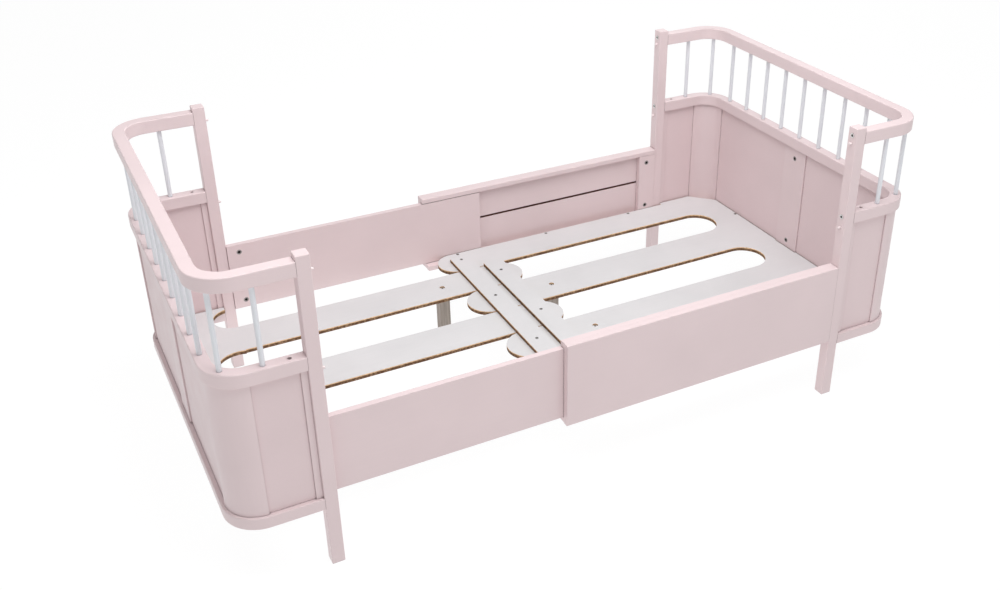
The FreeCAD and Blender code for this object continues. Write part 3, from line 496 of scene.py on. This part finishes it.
class BED_OT_fasteners(bpy.types.Operator):
    """Plate the bolts, screws, pins and cam locks"""

    bl_idname = "bed.fasteners"
    bl_label = "Fasteners"

    def execute(self, context):
        settings = context.scene.bed_metal
        stile_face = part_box("head_centre_stile")[0].x
        slat_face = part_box("inner_rail_left")[0].y
        bolt_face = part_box("head_post_bolts")[0].x
        nickel = plated("nickel_plate", settings.nickel, (0.26, 0.44), 0.25)
        dress(nickel, *pick("_leg_bolts", "rail_guide_pins"))
        faces = (("X", bolt_face),)
        bolts = plated("post_bolt_nickel", settings.nickel, (0.30, 0.46), 0.20, 0.3, faces)
        dress(bolts, *pick("_post_bolts"))
        screws = plated("screw_plate", settings.screw_grey, (0.40, 0.58), 0.30, 0.9)
        dress(screws, *pick("_deck_screws"))
        faces = (("X", stile_face), ("Y", slat_face))
        cams = plated("cast_zinc", settings.zinc, (0.42, 0.62), 0.45, 0.4, faces)
        dress(cams, *pick("_cam_locks"))
        return {"FINISHED"}


class BED_OT_studs(bpy.types.Operator):
    """Give the studs on the posts their moulded plastic"""

    bl_idname = "bed.studs"
    bl_label = "Post studs"

    def execute(self, context):
        dress(moulded("stud_plastic", context.scene.bed_metal.stud_pink), *pick("_post_studs"))
        return {"FINISHED"}


def lamp(name, power, size, place, target):
    """A large square light at place, turned to target."""
    data = bpy.data.lights.new(name, "AREA")
    data.energy = power
    data.shape = "SQUARE"
    data.size = size
    made = bpy.data.objects.new(name, data)
    made.location = place
    direction = Vector(place) - Vector(target)
    made.rotation_euler = direction.to_track_quat("Z", "Y").to_euler()
    bpy.context.scene.collection.objects.link(made)


class BED_OT_stage(bpy.types.Operator):
    """Lay the floor, hang the lights and set up the camera"""

    bl_idname = "bed.stage"
    bl_label = "Stage"

    def execute(self, context):
        settings = context.scene.bed_stage
        half = settings.floor_size / 2
        mesh = bpy.data.meshes.new("studio_floor")
        corners = [(-half, -half, 0), (half, -half, 0), (half, half, 0), (-half, half, 0)]
        mesh.from_pydata(corners, [], [(0, 1, 2, 3)])
        floor = bpy.data.objects.new("studio_floor", mesh)
        context.scene.collection.objects.link(floor)
        made = Finish("floor_tone")
        tone = settings.floor_tone
        made.colour(made.ramp(made.noise(1.5, 3.0), shade(tone, 0.99), shade(tone, 1.01)))
        made.shader.inputs["Emission Color"].default_value = WHITE
        made.shader.inputs["Emission Strength"].default_value = settings.floor_glow
        made.shader.inputs["Roughness"].default_value = 0.9
        made.shader.inputs["Specular IOR Level"].default_value = 0.1
        mesh.materials.append(made.material)

        world = bpy.data.worlds.new("white_surround")
        world.use_nodes = True
        background = world.node_tree.nodes["Background"]
        background.inputs["Color"].default_value = WHITE
        background.inputs["Strength"].default_value = settings.sky_strength
        context.scene.world = world
        low, high = CAD_BOX
        middle = (low + high) / 2
        lamp("key_light", settings.key_power, 2.2, (-0.5, -0.6, 3.2), middle)
        lamp("fill_light", settings.fill_power, 2.2, (0.5, -1.1, 3.2), middle)
        lamp("back_light", settings.back_power, 3.0, (3.4, 4.6, 3.2), middle)

        data = bpy.data.cameras.new("camera")
        data.lens = settings.camera_lens
        data.sensor_width = SENSOR_WIDTH
        data.shift_x, data.shift_y = settings.camera_shift
        data.clip_start = 0.05
        data.clip_end = 200.0
        camera = bpy.data.objects.new("camera", data)
        camera.location = settings.camera_place
        camera.rotation_euler = settings.camera_turn
        context.scene.collection.objects.link(camera)
        context.scene.camera = camera
        context.scene.view_settings.view_transform = "Standard"
        return {"FINISHED"}


class BED_PT_pieces(bpy.types.Panel):
    """Lists the operators and settings of the bed"""

    bl_idname = "BED_PT_pieces"
    bl_label = "Extending Bed"
    bl_space_type = "VIEW_3D"
    bl_region_type = "UI"
    bl_category = "Bed"

    def draw(self, context):
        layout = self.layout
        for operator in OPERATORS:
            layout.operator(operator.bl_idname)
        for group in (context.scene.bed_paint, context.scene.bed_metal, context.scene.bed_stage):
            column = layout.column(align=True)
            for name in group.__annotations__:
                column.prop(group, name)


OPERATORS = (
    BED_OT_posts,
    BED_OT_bent_rails,
    BED_OT_stiles,
    BED_OT_panels,
    BED_OT_side_rails,
    BED_OT_spindles,
    BED_OT_decks,
    BED_OT_bare_wood,
    BED_OT_fasteners,
    BED_OT_studs,
    BED_OT_stage,
)
GROUPS = (("bed_paint", PaintSettings), ("bed_metal", MetalSettings), ("bed_stage", StageSettings))


def register():
    for name, group in GROUPS:
        bpy.utils.register_class(group)
        setattr(bpy.types.Scene, name, PointerProperty(type=group))
    for operator in OPERATORS:
        bpy.utils.register_class(operator)
    bpy.utils.register_class(BED_PT_pieces)


def unregister():
    bpy.utils.unregister_class(BED_PT_pieces)
    for operator in reversed(OPERATORS):
        bpy.utils.unregister_class(operator)
    for name, group in reversed(GROUPS):
        delattr(bpy.types.Scene, name)
        bpy.utils.unregister_class(group)


def main():
    register()
    bpy.ops.bed.posts()
    bpy.ops.bed.bent_rails()
    bpy.ops.bed.stiles()
    bpy.ops.bed.panels()
    bpy.ops.bed.side_rails()
    bpy.ops.bed.spindles()
    bpy.ops.bed.decks()
    bpy.ops.bed.bare_wood()
    bpy.ops.bed.fasteners()
    bpy.ops.bed.studs()
    bpy.ops.bed.stage()


if __name__ == "__main__":
    main()
